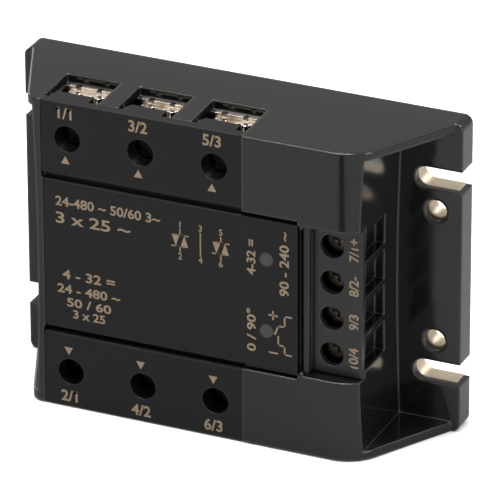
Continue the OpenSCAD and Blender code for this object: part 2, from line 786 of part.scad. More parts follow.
power_screw(phase_x[1]);  // line_screw_2
power_screw(phase_x[2]);  // line_screw_3
mirror([0, 0, 1]) power_screw(phase_x[0]);  // load_screw_1
mirror([0, 0, 1]) power_screw(phase_x[1]);  // load_screw_2
mirror([0, 0, 1]) power_screw(phase_x[2]);  // load_screw_3
control_terminal_plates();
control_clamp(control_z[0]);  // control_clamp_1
control_clamp(control_z[1]);  // control_clamp_2
control_clamp(control_z[2]);  // control_clamp_3
control_clamp(control_z[3]);  // control_clamp_4
control_screw(control_z[0]);  // control_screw_1
control_screw(control_z[1]);  // control_screw_2
control_screw(control_z[2]);  // control_screw_3
control_screw(control_z[3]);  // control_screw_4
control_board();
board_screws();
ceramic_substrates();
thyristor_chips();
gate_pins();
optocouplers();
snubber_capacitors();
snubber_resistors();
varistors();
bridge_rectifier();
smoothing_capacitor();
current_regulator();
thermal_switch();
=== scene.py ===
import math

import bpy
import numpy as np
from mathutils import Matrix, Vector
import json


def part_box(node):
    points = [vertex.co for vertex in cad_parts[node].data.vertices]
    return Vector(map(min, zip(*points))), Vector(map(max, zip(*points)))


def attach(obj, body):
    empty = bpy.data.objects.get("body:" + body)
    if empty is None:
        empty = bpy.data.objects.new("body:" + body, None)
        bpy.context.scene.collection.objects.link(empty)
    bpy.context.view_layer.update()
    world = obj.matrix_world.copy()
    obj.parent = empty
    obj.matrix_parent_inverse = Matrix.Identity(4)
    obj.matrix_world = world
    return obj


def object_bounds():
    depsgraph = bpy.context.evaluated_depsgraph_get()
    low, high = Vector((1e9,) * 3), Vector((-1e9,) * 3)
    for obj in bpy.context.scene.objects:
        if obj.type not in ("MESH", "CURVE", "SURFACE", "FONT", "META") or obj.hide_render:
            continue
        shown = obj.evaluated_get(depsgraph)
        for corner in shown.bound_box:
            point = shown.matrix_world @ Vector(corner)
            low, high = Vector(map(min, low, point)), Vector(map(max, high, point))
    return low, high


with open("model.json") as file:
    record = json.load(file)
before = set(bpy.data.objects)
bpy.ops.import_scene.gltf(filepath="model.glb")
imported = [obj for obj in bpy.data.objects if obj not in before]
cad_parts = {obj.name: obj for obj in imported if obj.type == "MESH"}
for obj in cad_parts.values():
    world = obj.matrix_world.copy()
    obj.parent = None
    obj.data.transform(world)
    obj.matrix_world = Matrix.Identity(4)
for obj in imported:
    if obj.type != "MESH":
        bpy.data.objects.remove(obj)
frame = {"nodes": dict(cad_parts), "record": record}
nodes = frame["nodes"]
cadLow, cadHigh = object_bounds()
mm = 0.001
print("frame loaded:", len(nodes), "nodes")


def addNode(tree, kind, settings=None, inputs=None):
    made = tree.nodes.new(kind)
    for name, value in (settings or {}).items():
        setattr(made, name, value)
    for name, value in (inputs or {}).items():
        made.inputs[name].default_value = value
    return made


def wire(tree, start, startSocket, end, endSocket):
    tree.links.new(start.outputs[startSocket], end.inputs[endSocket])


def newGroup(name, inputs, outputs):
    group = bpy.data.node_groups.new(name, "ShaderNodeTree")
    for label, kind, value in inputs:
        socket = group.interface.new_socket(name=label, in_out="INPUT", socket_type=kind)
        socket.default_value = value
    for label, kind in outputs:
        group.interface.new_socket(name=label, in_out="OUTPUT", socket_type=kind)
    return group, group.nodes.new("NodeGroupInput"), group.nodes.new("NodeGroupOutput")


def useGroup(tree, group, values):
    made = tree.nodes.new("ShaderNodeGroup")
    made.node_tree = group
    for name, value in values.items():
        made.inputs[name].default_value = value
    return made


def ramp(tree, low, high, toLow=0.0, toHigh=1.0):
    return addNode(tree, "ShaderNodeMapRange", {"interpolation_type": "SMOOTHSTEP"},
                   {"From Min": low, "From Max": high, "To Min": toLow, "To Max": toHigh})


def multiply(tree, first, firstSocket, second, secondSocket):
    product = addNode(tree, "ShaderNodeMath", {"operation": "MULTIPLY"})
    wire(tree, first, firstSocket, product, 0)
    wire(tree, second, secondSocket, product, 1)
    return product


edgeLook = {"samples": 8, "turn": (0.995, 0.8)}  # cosines of the turn where Edge starts and is full


def buildSoftEdges():
    # rounds the normal within Radius of an edge; Edge is 1 where the rounding turns it most
    group, start, end = newGroup("softEdges", [("Radius", "NodeSocketFloat", 0.0005)],
                                 [("Normal", "NodeSocketVector"), ("Edge", "NodeSocketFloat")])
    bevel = addNode(group, "ShaderNodeBevel", {"samples": edgeLook["samples"]})
    flat = addNode(group, "ShaderNodeNewGeometry")
    dot = addNode(group, "ShaderNodeVectorMath", {"operation": "DOT_PRODUCT"})
    edge = ramp(group, *edgeLook["turn"])
    wire(group, start, "Radius", bevel, "Radius")
    wire(group, bevel, "Normal", dot, 0)
    wire(group, flat, "Normal", dot, 1)
    wire(group, dot, "Value", edge, "Value")
    wire(group, bevel, "Normal", end, "Normal")
    wire(group, edge, "Result", end, "Edge")
    return group


grainLook = {"pits": {"Detail": 3.0, "Roughness": 0.6}, "wave": {"Detail": 2.0, "Roughness": 0.5}}


def buildMouldGrain():
    # fine pits of a spark-eroded mould over a slow waviness; Tone drifts slowly over the piece
    group, start, end = newGroup("mouldGrain", [("Grain Scale", "NodeSocketFloat", 4000.0),
                                                ("Wave Scale", "NodeSocketFloat", 60.0),
                                                ("Wave Share", "NodeSocketFloat", 0.5)],
                                 [("Height", "NodeSocketFloat"), ("Tone", "NodeSocketFloat")])
    place = addNode(group, "ShaderNodeTexCoord")
    pits = addNode(group, "ShaderNodeTexNoise", None, grainLook["pits"])
    wave = addNode(group, "ShaderNodeTexNoise", None, grainLook["wave"])
    mix = addNode(group, "ShaderNodeMix", {"data_type": "FLOAT"})
    for texture, scale in ((pits, "Grain Scale"), (wave, "Wave Scale")):
        wire(group, place, "Object", texture, "Vector")
        wire(group, start, scale, texture, "Scale")
    wire(group, start, "Wave Share", mix, 0)
    wire(group, pits, "Fac", mix, 2)
    wire(group, wave, "Fac", mix, 3)
    wire(group, mix, 0, end, "Height")
    wire(group, wave, "Fac", end, "Tone")
    return group


touchLook = {
    "speckRim": (0.11, 0.05),  # how far from a cell's middle a speck fades out, and where it is full
    "patch": {"Scale": 90.0, "Detail": 4.0}, "dustyPatch": (0.52, 0.62),
    "streak": {"Scale": 35.0, "Detail": 5.0, "Distortion": 1.5}, "smearedStreak": (0.45, 0.75),
}


def buildHandling():
    # thin dust specks, only in some patches, and faint smears from handling
    group, start, end = newGroup("handling", [("Speck Scale", "NodeSocketFloat", 900.0),
                                              ("Speck Amount", "NodeSocketFloat", 0.3)],
                                 [("Specks", "NodeSocketFloat"), ("Smears", "NodeSocketFloat")])
    place = addNode(group, "ShaderNodeTexCoord")
    cells = addNode(group, "ShaderNodeTexVoronoi", {"feature": "F1"}, {"Randomness": 1.0})
    near = ramp(group, *touchLook["speckRim"])
    patch = addNode(group, "ShaderNodeTexNoise", None, touchLook["patch"])
    gate = ramp(group, *touchLook["dustyPatch"])
    streak = addNode(group, "ShaderNodeTexNoise", None, touchLook["streak"])
    smears = ramp(group, *touchLook["smearedStreak"])
    for texture in (cells, patch, streak):
        wire(group, place, "Object", texture, "Vector")
    wire(group, start, "Speck Scale", cells, "Scale")
    wire(group, cells, "Distance", near, "Value")
    wire(group, patch, "Fac", gate, "Value")
    dusty = multiply(group, near, "Result", gate, "Result")
    specks = multiply(group, dusty, 0, start, "Speck Amount")
    wire(group, streak, "Fac", smears, "Value")
    wire(group, specks, 0, end, "Specks")
    wire(group, smears, "Result", end, "Smears")
    return group


brushLook = {"lines": {"Detail": 4.0, "Roughness": 0.65}, "blots": {"Scale": 260.0, "Detail": 5.0},
             "stained": (0.42, 0.68)}


def buildBrushing():
    # noise drawn out along one axis by Stretch, for milled and drawn metal; Stain is blotchy
    group, start, end = newGroup("brushing", [("Stretch", "NodeSocketVector", (1.0, 1.0, 1.0)),
                                              ("Line Scale", "NodeSocketFloat", 1500.0)],
                                 [("Height", "NodeSocketFloat"), ("Stain", "NodeSocketFloat")])
    place = addNode(group, "ShaderNodeTexCoord")
    drawn = addNode(group, "ShaderNodeVectorMath", {"operation": "MULTIPLY"})
    lines = addNode(group, "ShaderNodeTexNoise", None, brushLook["lines"])
    blots = addNode(group, "ShaderNodeTexNoise", None, brushLook["blots"])
    stain = ramp(group, *brushLook["stained"])
    wire(group, place, "Object", drawn, 0)
    wire(group, start, "Stretch", drawn, 1)
    wire(group, drawn, "Vector", lines, "Vector")
    wire(group, start, "Line Scale", lines, "Scale")
    wire(group, place, "Object", blots, "Vector")
    wire(group, blots, "Fac", stain, "Value")
    wire(group, lines, "Fac", end, "Height")
    wire(group, stain, "Result", end, "Stain")
    return group


softEdges = buildSoftEdges()
mouldGrain = buildMouldGrain()
handling = buildHandling()
brushing = buildBrushing()
print("effects built")


def newMaterial(name, shader):
    material = bpy.data.materials.new(name)
    material.use_nodes = True
    tree = material.node_tree
    tree.nodes.clear()
    surface = addNode(tree, "ShaderNodeBsdfPrincipled", None, shader)
    out = addNode(tree, "ShaderNodeOutputMaterial")
    wire(tree, surface, "BSDF", out, "Surface")
    return material, tree, surface


def mixColours(tree, low, high, mask, maskSocket):
    # low and high are each a colour, or a mix made before
    mix = addNode(tree, "ShaderNodeMix", {"data_type": "RGBA"})
    for socket, colour in ((6, low), (7, high)):
        if isinstance(colour, tuple):
            mix.inputs[socket].default_value = (*colour, 1.0)
        else:
            wire(tree, colour, 2, mix, socket)
    wire(tree, mask, maskSocket, mix, 0)
    return mix


def roughFrom(tree, look, texture, socket):
    rough = ramp(tree, 0.3, 0.7, *look["roughness"])  # the noise mostly lies between 0.3 and 0.7
    wire(tree, texture, socket, rough, "Value")
    return rough


def addBump(tree, look, texture, surface, edges=None):
    bump = addNode(tree, "ShaderNodeBump", None, {"Strength": look["bump"], "Distance": look["bumpDepth"]})
    wire(tree, texture, "Height", bump, "Height")
    if edges:
        wire(tree, edges, "Normal", bump, "Normal")
    wire(tree, bump, "Normal", surface, "Normal")


def plasticFinish(name, look):
    # paler along edges, in part as wear and in part as a painted highlight that lights inner corners as well
    # as outer edges, with dust specks, and duller where it was handled
    material, tree, surface = newMaterial(name, look.get("shader"))
    edges = useGroup(tree, softEdges, {"Radius": look["edgeRadius"]})
    grain = useGroup(tree, mouldGrain, {"Grain Scale": look["grainScale"], "Wave Scale": look["waveScale"],
                                        "Wave Share": look["waveShare"]})
    touch = useGroup(tree, handling, {"Speck Scale": look["speckScale"], "Speck Amount": look["specks"]})
    wornAndHighlit = mixColours(tree, look["colour"], look["wornColour"], edges, "Edge")
    dusty = mixColours(tree, wornAndHighlit, look["dustColour"], touch, "Specks")
    wire(tree, dusty, 2, surface, "Base Color")
    rough = roughFrom(tree, look, grain, "Tone")
    smear = addNode(tree, "ShaderNodeMath", {"operation": "MULTIPLY_ADD"}, {1: look["smearRoughness"]})
    wire(tree, touch, "Smears", smear, 0)
    wire(tree, rough, "Result", smear, 2)
    wire(tree, smear, 0, surface, "Roughness")
    addBump(tree, look, grain, surface, edges)
    return material


def metalFinish(name, look):
    # brushed lines set the roughness and the bump, and stains the colour
    material, tree, surface = newMaterial(name, {"Metallic": 1.0})
    edges = useGroup(tree, softEdges, {"Radius": look["edgeRadius"]})
    lines = useGroup(tree, brushing, {"Stretch": look["stretch"], "Line Scale": look["lineScale"]})
    stained = mixColours(tree, look["colour"], look["stainColour"], lines, "Stain")
    wire(tree, stained, 2, surface, "Base Color")
    wire(tree, roughFrom(tree, look, lines, "Height"), "Result", surface, "Roughness")
    addBump(tree, look, lines, surface, edges)
    return material


# in the plastic looks, wornColour is laid along every edge, outer and inner alike: partly wear, partly a
# painted edge highlight
glossHousing = {
    "colour": (0.0058, 0.0057, 0.0055), "wornColour": (0.03, 0.0295, 0.0285),
    "dustColour": (0.06, 0.057, 0.052),
    "edgeRadius": 0.95 * mm, "grainScale": 2600.0, "waveScale": 45.0, "waveShare": 0.35,
    "speckScale": 1300.0, "specks": 0.2, "roughness": (0.1, 0.15), "smearRoughness": 0.05,
    "bump": 0.05, "bumpDepth": 0.00006, "shader": {"Specular IOR Level": 0.5},
}
mattPanel = {
    "colour": (0.0042, 0.0042, 0.0046), "wornColour": (0.024, 0.024, 0.0245),
    "dustColour": (0.05, 0.048, 0.045),
    "edgeRadius": 0.4 * mm, "grainScale": 5200.0, "waveScale": 70.0, "waveShare": 0.15,
    "speckScale": 1100.0, "specks": 0.25, "roughness": (0.29, 0.35), "smearRoughness": 0.05,
    "bump": 0.35, "bumpDepth": 0.00004, "shader": {"Specular IOR Level": 0.27},
}
controlPlastic = {
    "colour": (0.0085, 0.0086, 0.0092), "wornColour": (0.03, 0.03, 0.031), "dustColour": (0.05, 0.048, 0.045),
    "edgeRadius": 0.4 * mm, "grainScale": 4200.0, "waveScale": 60.0, "waveShare": 0.25,
    "speckScale": 1100.0, "specks": 0.2, "roughness": (0.26, 0.34), "smearRoughness": 0.05,
    "bump": 0.2, "bumpDepth": 0.00005, "shader": {"Specular IOR Level": 0.5},
}
smokedLens = {
    "colour": (0.032, 0.033, 0.035), "wornColour": (0.06, 0.06, 0.064), "dustColour": (0.12, 0.12, 0.11),
    "edgeRadius": 0.15 * mm, "grainScale": 3000.0, "waveScale": 200.0, "waveShare": 0.6,
    "speckScale": 1500.0, "specks": 0.2, "roughness": (0.3, 0.38), "smearRoughness": 0.05,
    "bump": 0.08, "bumpDepth": 0.00005,
}


# wornColour here, paler than the colour, is partly wear and partly a painted edge highlight
def plainPlastic(colour, roughness, coat=0.0):
    return {
        "colour": colour, "wornColour": tuple(min(1.0, c * 1.35 + 0.01) for c in colour),
        "dustColour": (0.25, 0.24, 0.22), "edgeRadius": 0.2 * mm, "grainScale": 3500.0, "waveScale": 160.0,
        "waveShare": 0.4, "speckScale": 1200.0, "specks": 0.2, "roughness": (roughness, roughness + 0.1),
        "smearRoughness": 0.05, "bump": 0.15, "bumpDepth": 0.00005, "shader": {"Coat Weight": coat},
    }


plateAluminium = {
    "colour": (0.68, 0.59, 0.47), "stainColour": (0.61, 0.525, 0.415), "edgeRadius": 0.25 * mm,
    "stretch": (1.0, 1.0, 0.08), "lineScale": 1800.0,
    "roughness": (0.42, 0.6), "bump": 0.2, "bumpDepth": 0.00004,
}
clampSteel = {
    "colour": (0.84, 0.78, 0.72), "stainColour": (0.5, 0.43, 0.37), "edgeRadius": 0.3 * mm,
    "stretch": (0.1, 1.0, 1.0), "lineScale": 1600.0,
    "roughness": (0.12, 0.26), "bump": 0.25, "bumpDepth": 0.00006,
}
# the plated colour darkened into painted shade, for screws that sit deep in their holes; the thermal switch
# case takes the same look
screwSteelPaintedShade = {
    "colour": (0.26, 0.22, 0.18), "stainColour": (0.13, 0.1, 0.07), "edgeRadius": 0.25 * mm,
    "stretch": (1.0, 0.3, 1.0), "lineScale": 1200.0,
    "roughness": (0.34, 0.5), "bump": 0.2, "bumpDepth": 0.00005,
}
busbarBrass = {
    "colour": (0.72, 0.64, 0.55), "stainColour": (0.42, 0.34, 0.26), "edgeRadius": 0.25 * mm,
    "stretch": (0.1, 1.0, 1.0), "lineScale": 1300.0,
    "roughness": (0.25, 0.42), "bump": 0.2, "bumpDepth": 0.00005,
}

finishes = {
    "housing_plastic": plasticFinish("housingPlastic", glossHousing),
    "panel_plastic": plasticFinish("panelPlastic", mattPanel),
    "lens_plastic": plasticFinish("lensPlastic", smokedLens),
    "base_plate_aluminium": metalFinish("plateAluminium", plateAluminium),
    "clamp_steel": metalFinish("clampSteel", clampSteel),
    "plated_steel": metalFinish("screwSteelPaintedShade", screwSteelPaintedShade),
    "tinned_brass": metalFinish("busbarBrass", busbarBrass),
    "thermal_switch_body": metalFinish("switchCase", screwSteelPaintedShade),
    "green_led": plasticFinish("greenLed", plainPlastic((0.06, 0.42, 0.1), 0.15, 0.5)),
    "red_led": plasticFinish("redLed", plainPlastic((0.5, 0.03, 0.02), 0.15, 0.5)),
    "circuit_board": plasticFinish("circuitBoard", plainPlastic((0.02, 0.14, 0.05), 0.3, 0.3)),
    "ceramic": plasticFinish("ceramic", plainPlastic((0.82, 0.81, 0.76), 0.45)),
    "silicon": plasticFinish("silicon", plainPlastic((0.12, 0.12, 0.15), 0.2)),
    "film_capacitor": plasticFinish("filmCapacitor", plainPlastic((0.6, 0.25, 0.02), 0.3, 0.3)),
    "resistor_body": plasticFinish("resistorBody", plainPlastic((0.2, 0.4, 0.48), 0.4)),
    "varistor_disc": plasticFinish("varistorDisc", plainPlastic((0.02, 0.07, 0.35), 0.3, 0.3)),
    "capacitor_sleeve": plasticFinish("capacitorSleeve", plainPlastic((0.02, 0.03, 0.15), 0.25, 0.3)),
    "black_component": plasticFinish("blackComponent", plainPlastic((0.015, 0.015, 0.016), 0.45)),
}

slotOf = {part["node"]: part["material_slot"] for part in frame["record"]["subparts"]}
for name, piece in nodes.items():
    piece.data.materials.clear()
    piece.data.materials.append(finishes[slotOf[name]])
controlFinish = plasticFinish("controlPlastic", controlPlastic)
nodes["control_terminal_cover"].data.materials[0] = controlFinish  # smoother than the other covers
print("finishes given to", len(nodes), "nodes")


printing = {
    "colour": (0.235, 0.172, 0.11), "wornColour": (0.17, 0.122, 0.076), "roughness": (0.42, 0.55),
    "grain": {"Grain Scale": 3800.0, "Wave Scale": 500.0, "Wave Share": 0.5},
    "bump": 0.2, "bumpDepth": 0.00003, "thickness": 0.03 * mm, "gap": 0.005 * mm,
}


def printInk():
    # the ink is a little thin in places, so its colour and gloss drift
    material, tree, surface = newMaterial("goldInk", None)
    grain = useGroup(tree, mouldGrain, printing["grain"])
    drift = mixColours(tree, printing["wornColour"], printing["colour"], grain, "Height")
    wire(tree, drift, 2, surface, "Base Color")
    wire(tree, roughFrom(tree, printing, grain, "Tone"), "Result", surface, "Roughness")
    addBump(tree, printing, grain, surface)
    return material


ink = printInk()


def cornersOf(mesh):
    corners = np.zeros(len(mesh.vertices) * 3, np.float32)
    mesh.vertices.foreach_get("co", corners)
    return corners.reshape(-1, 3)


def inkPlane(front):
    # where the middle of the ink's thickness lies, ahead of a front face
    return front - printing["gap"] - printing["thickness"] / 2


def frontPlace(x, y, z, upright=True):
    # a mark's own X and Y run along the face, its Z points forward; a turned mark reads upwards
    along, up = (Vector((1, 0, 0)), Vector((0, 0, 1))) if upright else (Vector((0, 0, 1)), Vector((-1, 0, 0)))
    return Matrix.Translation((x, y, z)) @ Matrix((along, up, Vector((0, -1, 0)))).transposed().to_4x4()


def writeMark(words, size, place, squeeze=1.0, bold=0.0):
    curve = bpy.data.curves.new("words", "FONT")
    curve.body = words
    curve.size = size
    curve.align_x = "CENTER"
    curve.align_y = "CENTER"
    curve.extrude = printing["thickness"] / 2
    curve.offset = bold
    curve.resolution_u = 4
    text = bpy.data.objects.new("words", curve)
    bpy.context.scene.collection.objects.link(text)
    bpy.context.view_layer.update()
    mesh = bpy.data.meshes.new_from_object(text.evaluated_get(bpy.context.evaluated_depsgraph_get()))
    bpy.data.objects.remove(text)
    corners = cornersOf(mesh)
    corners[:, :2] -= (corners[:, :2].min(0) + corners[:, :2].max(0)) / 2
    corners[:, 0] *= squeeze
    mesh.vertices.foreach_set("co", corners.ravel())
    mesh.transform(place)
    return mesh


# tall is a share of the line's height, narrow of the run's own height, and the rest of its width
barFlag = {"tall": 0.7, "narrow": 0.3, "start": (0.5, 0.45), "tip": (-0.6, 1.3), "stroke": 0.75}


def barFlags(mesh, place):
    # the font's 1 is a plain bar: each run of joined corners that is tall and narrow gets a short flag
    # a 1 is made of three runs that aren't joined to each other, so it gets three flags in one place
    back = np.array(place.inverted())
    local = cornersOf(mesh) @ back[:3, :3].T + back[:3, 3]
    ends = np.zeros(len(mesh.edges) * 2, np.int32)
    mesh.edges.foreach_get("vertices", ends)
    ends = ends.reshape(-1, 2)
    # every corner takes the lowest label that any corner joined to it has, until none changes
    labels, before = np.arange(len(local)), None
    while before is None or (labels != before).any():
        before = labels.copy()
        lowest = labels[ends].min(1)
        np.minimum.at(labels, ends[:, 0], lowest)
        np.minimum.at(labels, ends[:, 1], lowest)
    lineHeight = np.ptp(local[:, 1])
    flags = []
    for label in np.unique(labels):
        run = local[labels == label]
        wide, high = np.ptp(run[:, 0]), np.ptp(run[:, 1])
        if high > barFlag["tall"] * lineHeight and wide < barFlag["narrow"] * high:
            left, top = run[:, 0].min(), run[:, 1].max()
            flag = [(left + wide * across, top - wide * down)
                    for across, down in (barFlag["start"], barFlag["tip"])]
            flags.append(strokeMark(flag, wide * barFlag["stroke"], place))
    return flags


def strokeMark(points, width, place):
    # a bar of even width carried along each straight run of the points, as one closed box a run
    points = np.array(points, float)
    starts, ends = points[:-1], points[1:]
    along = (ends - starts) / np.linalg.norm(ends - starts, axis=1, keepdims=True)
    side = np.stack([-along[:, 1], along[:, 0]], 1) * width / 2
    reach = along * width / 2
    outline = np.stack([starts - reach + side, starts - reach - side,
                        ends + reach - side, ends + reach + side], 1)
    return extrudeOutlines(outline, place)


def extrudeOutlines(outlines, place):
    # each row of outlines is one flat polygon, given a front, a back and walls
    count, corners = outlines.shape[:2]
    depth = printing["thickness"] / 2
    front = np.concatenate([outlines, np.full((count, corners, 1), depth)], 2)
    back = np.concatenate([outlines, np.full((count, corners, 1), -depth)], 2)
    vertices = np.concatenate([front, back], 1).reshape(-1, 3)
    base = np.arange(count)[:, None] * corners * 2
    ring = np.arange(corners)
    faces = [list(row) for row in base + ring] + [list(row) for row in base + corners + ring[::-1]]
    nextRing = (ring + 1) % corners
    walls = np.stack([ring, ring + corners, nextRing + corners, nextRing], 1)
    faces += [list(row) for row in (base[:, :, None] + walls[None]).reshape(-1, 4)]
    mesh = bpy.data.meshes.new("outlines")
    mesh.from_pydata(vertices.tolist(), [], faces)
    mesh.transform(place)
    return mesh


def joinMarks(name, meshes, body):
    # one object out of many small meshes, with its place in its mesh
    vertices, faces, base = [], [], 0
    for mesh in meshes:
        vertices.append(cornersOf(mesh))
        faces += [[base + v for v in face.vertices] for face in mesh.polygons]
        base += len(mesh.vertices)
        bpy.data.meshes.remove(mesh)
    joined = bpy.data.meshes.new(name)
    joined.from_pydata(np.concatenate(vertices).tolist(), [], faces)
    joined.materials.append(ink)
    piece = bpy.data.objects.new(name, joined)
    bpy.context.scene.collection.objects.link(piece)
    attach(piece, body)
    return piece


def middleOf(node):
    low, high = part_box(node)
    return (low + high) / 2


powerLabels = {"size": 3.9 * mm, "above": 6.4 * mm, "below": 5.4 * mm, "shift": -0.5 * mm, "squeeze": 0.98,
               "markSize": 1.1 * mm, "markFlat": 0.8, "bold": 0.09 * mm}


def powerMarks(row, body, side, numbers):
    front = inkPlane(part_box(row + "_terminal_cover")[0].y)
    marks = []
    for index, number in enumerate(numbers):
        centre = middleOf(f"{row}_screw_{index + 1}")
        outer = frontPlace(centre.x + powerLabels["shift"], front, centre.z + side * powerLabels["above"])
        inner = frontPlace(centre.x + powerLabels["shift"], front, centre.z - side * powerLabels["below"])
        mark = writeMark(number, powerLabels["size"], outer, powerLabels["squeeze"], powerLabels["bold"])
        marks += [mark] + barFlags(mark, outer)
        reach = powerLabels["markSize"]
        foot = -side * reach * powerLabels["markFlat"]
        triangle = np.array([[[-reach, foot], [reach, foot], [0, side * reach]]])
        marks.append(extrudeOutlines(triangle if side > 0 else triangle[:, ::-1], inner))
    return joinMarks(row + "_cover_print", marks, body)


powerMarks("line", "line_cover", 1, ["1/1", "3/2", "5/3"])
powerMarks("load", "load_cover", -1, ["2/1", "4/2", "6/3"])

controlLabels = {"size": 3.2 * mm, "besideHole": 5.45 * mm, "bold": 0.07 * mm}


def faceRightOf(node, x):
    # the front of a flat part that has something proud of it further left
    corners = cornersOf(nodes[node].data)
    return float(corners[corners[:, 0] > x, 1].min())


def controlMarks():
    face = inkPlane(faceRightOf("control_terminal_cover", middleOf("control_screw_1").x))
    marks = []
    for index, number in enumerate(["7/1+", "8/2-", "9/3", "10/4"]):
        centre = middleOf(f"control_screw_{index + 1}")
        place = frontPlace(centre.x + controlLabels["besideHole"], face, centre.z, upright=False)
        mark = writeMark(number, controlLabels["size"], place, bold=controlLabels["bold"])
        marks += [mark] + barFlags(mark, place)
    return joinMarks("control_cover_print", marks, "control_cover")


controlMarks()
print("terminal marks printed")

# distances in mm from the middle of the middle panel: words, letter size, across, up, width
panelLabels = {
    "lines": [("24-480 ~ 50/60 3~", 3.3, -8.6, 13.9, 26.5), ("3 x 25 ~", 3.9, -12.4, 9.65, 18.9),
              ("4 - 32 =", 3.3, -13.7, -4.65, 13.4), ("24 - 480 ~", 3.1, -13.7, -8.4, 16.0),
              ("50 / 60", 3.0, -13.7, -11.7, 11.3), ("3 x 25", 3.0, -13.7, -14.6, 8.2)],
    "bold": 0.07,
}
# the switched and unswitched phases side by side; arrowHalf, arrowShift, bar and link are shares of reach
circuitMarks = {"columns": (9.6, 14.7, 19.8), "unswitched": 1, "middle": 9.5, "reach": 2.15, "rise": 1.45,
                "stem": 2.9, "arrowHalf": 0.45, "arrowShift": 0.5, "bar": (0.95, 0.05), "link": 0.5,
                "linkStroke": 0.8, "labels": (13.6, 5.6), "labelSize": 2.2, "labelBold": 0.03, "stroke": 0.32}


def fitWords(words, size, wide, place):
    # squeezes or stretches the line to the width it has on the panel
    mesh = writeMark(words, size, Matrix.Identity(4), bold=panelLabels["bold"] * mm)
    corners = cornersOf(mesh)
    corners[:, 0] *= wide / np.ptp(corners[:, 0])
    mesh.vertices.foreach_set("co", corners.ravel())
    mesh.transform(place)
    return mesh


def triacMark(place, stroke):
    # two arrowheads side by side, one up and one down, each against a bar, with a lead from each end
    stem, rise, reach = (circuitMarks[key] * mm for key in ("stem", "rise", "reach"))
    half, link = circuitMarks["arrowHalf"] * reach, circuitMarks["link"] * reach
    marks = []
    for side in (-1, 1):
        arrow = np.array([[[0, side * rise], [-half, -side * rise], [half, -side * rise]]])
        arrow = arrow[:, ::-1] if side > 0 else arrow
        marks.append(extrudeOutlines(arrow + np.array([side * circuitMarks["arrowShift"] * reach, 0]), place))
        bar = [(side * end * reach, side * rise) for end in circuitMarks["bar"]]
        marks.append(strokeMark(bar, stroke, place))
        marks.append(strokeMark([(0, side * rise), (0, side * stem)], stroke, place))
    for level in (-rise, rise):
        marks.append(strokeMark([(-link, level), (link, level)], stroke * circuitMarks["linkStroke"], place))
    return marks


def middlePanelMarks():
    low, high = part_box("front_panel")
    front = inkPlane(low.y)
    middle = (low + high) / 2
    marks = []
    for words, size, across, up, wide in panelLabels["lines"]:
        place = frontPlace(middle.x + across * mm, front, middle.z + up * mm)
        marks.append(fitWords(words, size * mm, wide * mm, place))
    stroke, stem = circuitMarks["stroke"] * mm, circuitMarks["stem"] * mm
    for index, across in enumerate(circuitMarks["columns"]):
        place = frontPlace(middle.x + across * mm, front, middle.z + circuitMarks["middle"] * mm)
        if index == circuitMarks["unswitched"]:
            marks.append(strokeMark([(0, -stem), (0, stem)], stroke, place))
        else:
            marks += triacMark(place, stroke)
        for label, up in zip((2 * index + 1, 2 * index + 2), circuitMarks["labels"]):
            place = frontPlace(middle.x + across * mm, front, middle.z + up * mm)
            size, bold = circuitMarks["labelSize"] * mm, circuitMarks["labelBold"] * mm
            marks.append(writeMark(str(label), size, place, bold=bold))
    return joinMarks("front_panel_print", marks, "relay_body")


# distances in mm from the left edge and the middle height of the indicator panel: across, up, then sizes
indicatorLabels = {
    "words": [("4-32 =", 3.0, 2.3, 8.9, 8.9), ("0 / 90°", 3.0, 2.3, -9.6, 10.8),
              ("90 - 240 ~", 3.2, 10.55, 8.6, 16.2)],
    "plus": (7.75, -4.9, 0.95), "minus": (7.85, -14.4, 0.95), "contact": (10.25, -9.5, 4.0, 9.75),
    # two leads, each with a short level, and a slanted blade between them, in shares of the contact's size
    "leads": [[(0.5, 0.5), (0.1, 0.5), (0.1, 0.22), (-0.3, 0.22)],
              [(-0.3, -0.28), (0.1, -0.28), (0.1, -0.5), (0.5, -0.5)],
              [(-0.3, 0.22), (-0.5, 0.0)], [(-0.3, -0.28), (-0.3, -0.06)]],
    "stroke": 0.4,
}


def indicatorMarks():
    low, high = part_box("indicator_panel")
    front = inkPlane(low.y)
    height = (low.z + high.z) / 2
    stroke = indicatorLabels["stroke"] * mm
    marks = []
    for words, size, across, up, wide in indicatorLabels["words"]:
        place = frontPlace(low.x + across * mm, front, height + up * mm, upright=False)
        marks.append(fitWords(words, size * mm, wide * mm, place))
    for sign in ("plus", "minus"):
        across, up, reach = (value * mm for value in indicatorLabels[sign])
        place = frontPlace(low.x + across, front, height + up)
        marks.append(strokeMark([(-reach, 0), (reach, 0)], stroke, place))
        if sign == "plus":
            marks.append(strokeMark([(0, stroke / 2), (0, reach)], stroke, place))
            marks.append(strokeMark([(0, -stroke / 2), (0, -reach)], stroke, place))
    across, up, wide, tall = (value * mm for value in indicatorLabels["contact"])
    place = frontPlace(low.x + across, front, height + up)
    for lead in indicatorLabels["leads"]:
        marks.append(strokeMark([(a * wide, b * tall) for a, b in lead], stroke, place))
    return joinMarks("indicator_panel_print", marks, "relay_body")


middlePanelMarks()
indicatorMarks()
print("panel marks printed")


# the greyer reflection tone and the dark strip below are painted shade, seen only in reflections
stageLook = {
    "size": 6.0, "colour": (0.86, 0.86, 0.855), "reflectedFloorShade": (0.38, 0.38, 0.39), "roughness": 0.7,
    "specular": 0.1, "shadeStripColour": (0.03, 0.03, 0.032), "stripLeft": (22 * mm, 32 * mm),
    "stripRight": (68 * mm, 56 * mm), "stripAhead": (55 * mm, 85 * mm),
    "skyColour": (1.0, 0.97, 0.93, 1.0), "skyStrength": 0.5,
}


